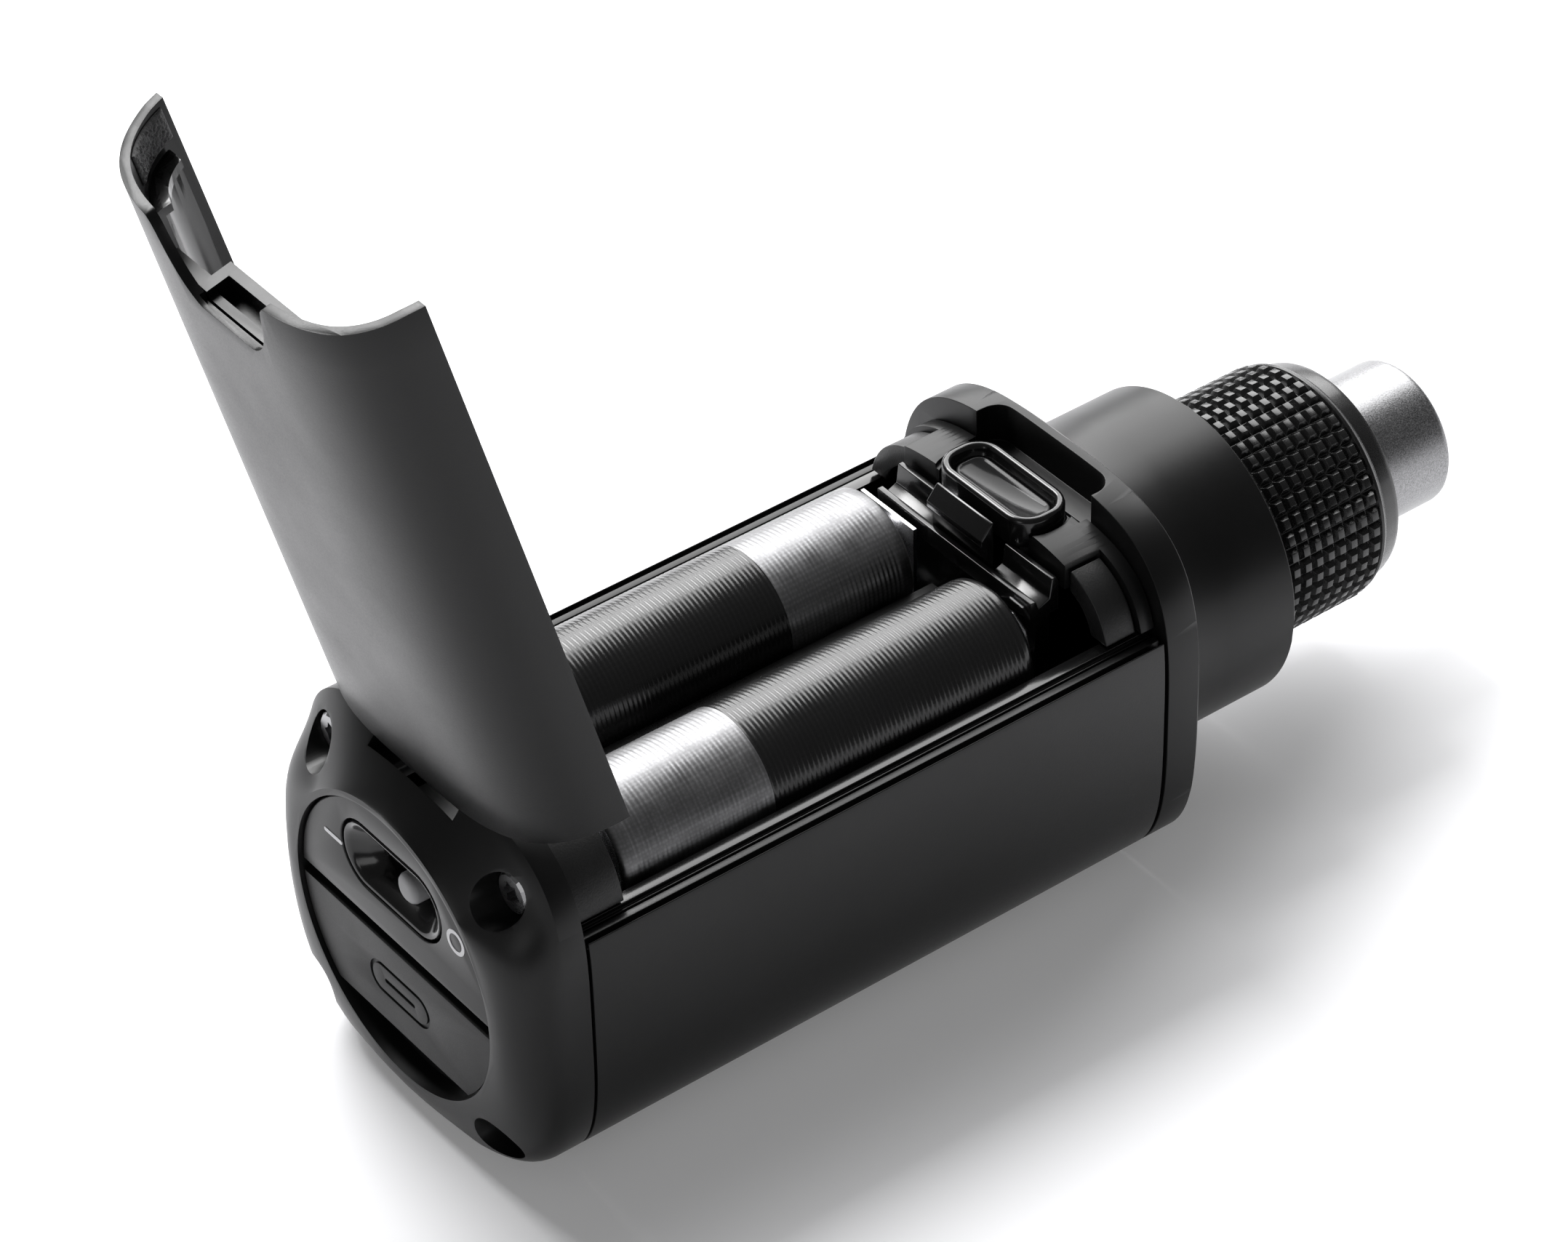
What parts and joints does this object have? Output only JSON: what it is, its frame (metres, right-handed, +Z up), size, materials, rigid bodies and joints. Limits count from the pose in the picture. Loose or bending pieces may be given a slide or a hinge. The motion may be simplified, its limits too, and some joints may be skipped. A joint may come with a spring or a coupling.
{
  "type": "plug-on wireless microphone transmitter",
  "caption": "Square-bodied plug-on wireless transmitter with an open hinged battery door, two cells, a recessed switch, a display window and a locking microphone connector.",
  "frame": {"origin": "centre of the flat base, under the middle of the body", "axes": "+X towards the microphone connector, +Z up out of the battery bay, +Y towards the far cell"},
  "size_m": [0.1411, 0.0422, 0.1081],
  "materials": {
    "satin_black": "satin",
    "shell_black": "fine grain",
    "gloss_black": "glossy",
    "slider_grey": "satin",
    "soft_cover": "matt",
    "steel": "plain",
    "sleeve_silver": "satin",
    "gold": "plated",
    "cell_label": "glossy wrap",
    "window": "clear",
    "circuit_board": "lacquered",
    "white_washer": "plain",
    "foam": "open foam"
  },
  "bodies": {
    "transmitter_body": {"end_cap": "satin_black", "cap_screw_1": "steel", "cap_screw_2": "steel", "cap_screw_3": "steel", "cap_screw_4": "steel", "switch_panel": "satin_black", "switch_dish": "gloss_black", "slide_switch": "gloss_black", "port_receptacle": "steel", "body_shell": "shell_black", "chassis": "gloss_black", "battery_tray": "gloss_black", "rear_contact_carrier": "gloss_black", "contact_carrier": "gloss_black", "main_board": "circuit_board", "rf_shield_can": "steel", "power_module": "gloss_black", "contact_plate_far": "steel", "contact_plate_near": "steel", "cell_spring_far": "steel", "cell_spring_near": "steel", "front_deck": "satin_black", "front_shoulder_far": "shell_black", "front_shoulder_near": "shell_black", "rear_shoulder_far": "shell_black", "rear_shoulder_near": "shell_black", "display_bezel": "gloss_black", "display_window": "window", "display_module": "gloss_black", "front_housing": "satin_black", "xlr_sleeve": "sleeve_silver", "xlr_insert": "gloss_black", "xlr_socket_1": "gold", "xlr_socket_2": "gold", "xlr_socket_3": "gold", "hinge_pin": "steel"},
    "battery_door": {"door_skin": "shell_black", "door_liner": "gloss_black", "door_pad_far": "foam", "door_pad_near": "foam"},
    "ring_carrier": {"thrust_washer": "white_washer"},
    "locking_ring": {"lock_ring": "satin_black"},
    "switch_knob": {"switch_slider": "slider_grey"},
    "port_flap": {"port_cover": "soft_cover"},
    "door_latch": {"latch_tab": "gloss_black", "latch_spring": "steel"},
    "far_cell": {"cell_far": "cell_label"},
    "near_cell": {"cell_near": "cell_label"}
  },
  "joints": [
    {"name": "door_hinge", "type": "hinge", "parent": "transmitter_body", "child": "battery_door", "pos_m": [-0.03615, 0, 0.03872], "axis": [0, -1, 0], "range_deg": [-105.3, 0]},
    {"name": "ring_travel", "type": "slide", "parent": "transmitter_body", "child": "ring_carrier", "axis": [1, 0, 0], "range_m": [0, 0.00151]},
    {"name": "ring_turn", "type": "hinge", "parent": "ring_carrier", "child": "locking_ring", "pos_m": [0.064, 0, 0.0208], "axis": [1, 0, 0], "range_deg": [0, 270]},
    {"name": "switch_slide", "type": "slide", "parent": "transmitter_body", "child": "switch_knob", "axis": [0, 1, 0], "range_m": [0, 0.004]},
    {"name": "port_cover_flap", "type": "hinge", "parent": "transmitter_body", "child": "port_flap", "pos_m": [-0.0421, 0, 0.0195], "axis": [0, 1, 0], "range_deg": [0, 100]},
    {"name": "latch_slide", "type": "slide", "parent": "transmitter_body", "child": "door_latch", "axis": [1, 0, 0], "range_m": [0, 0.0009], "stiffness_N_per_m": 200, "deforming": ["latch_spring"]},
    {"name": "far_cell_lift", "type": "slide", "parent": "transmitter_body", "child": "far_cell", "axis": [0, 0, 1], "range_m": [0, 0.03]},
    {"name": "near_cell_lift", "type": "slide", "parent": "transmitter_body", "child": "near_cell", "axis": [0, 0, 1], "range_m": [0, 0.03]}
  ],
  "couplings": [
    {"joint": "ring_travel", "follows": "ring_turn", "m_per_rad": 0.00031831}
  ]
}
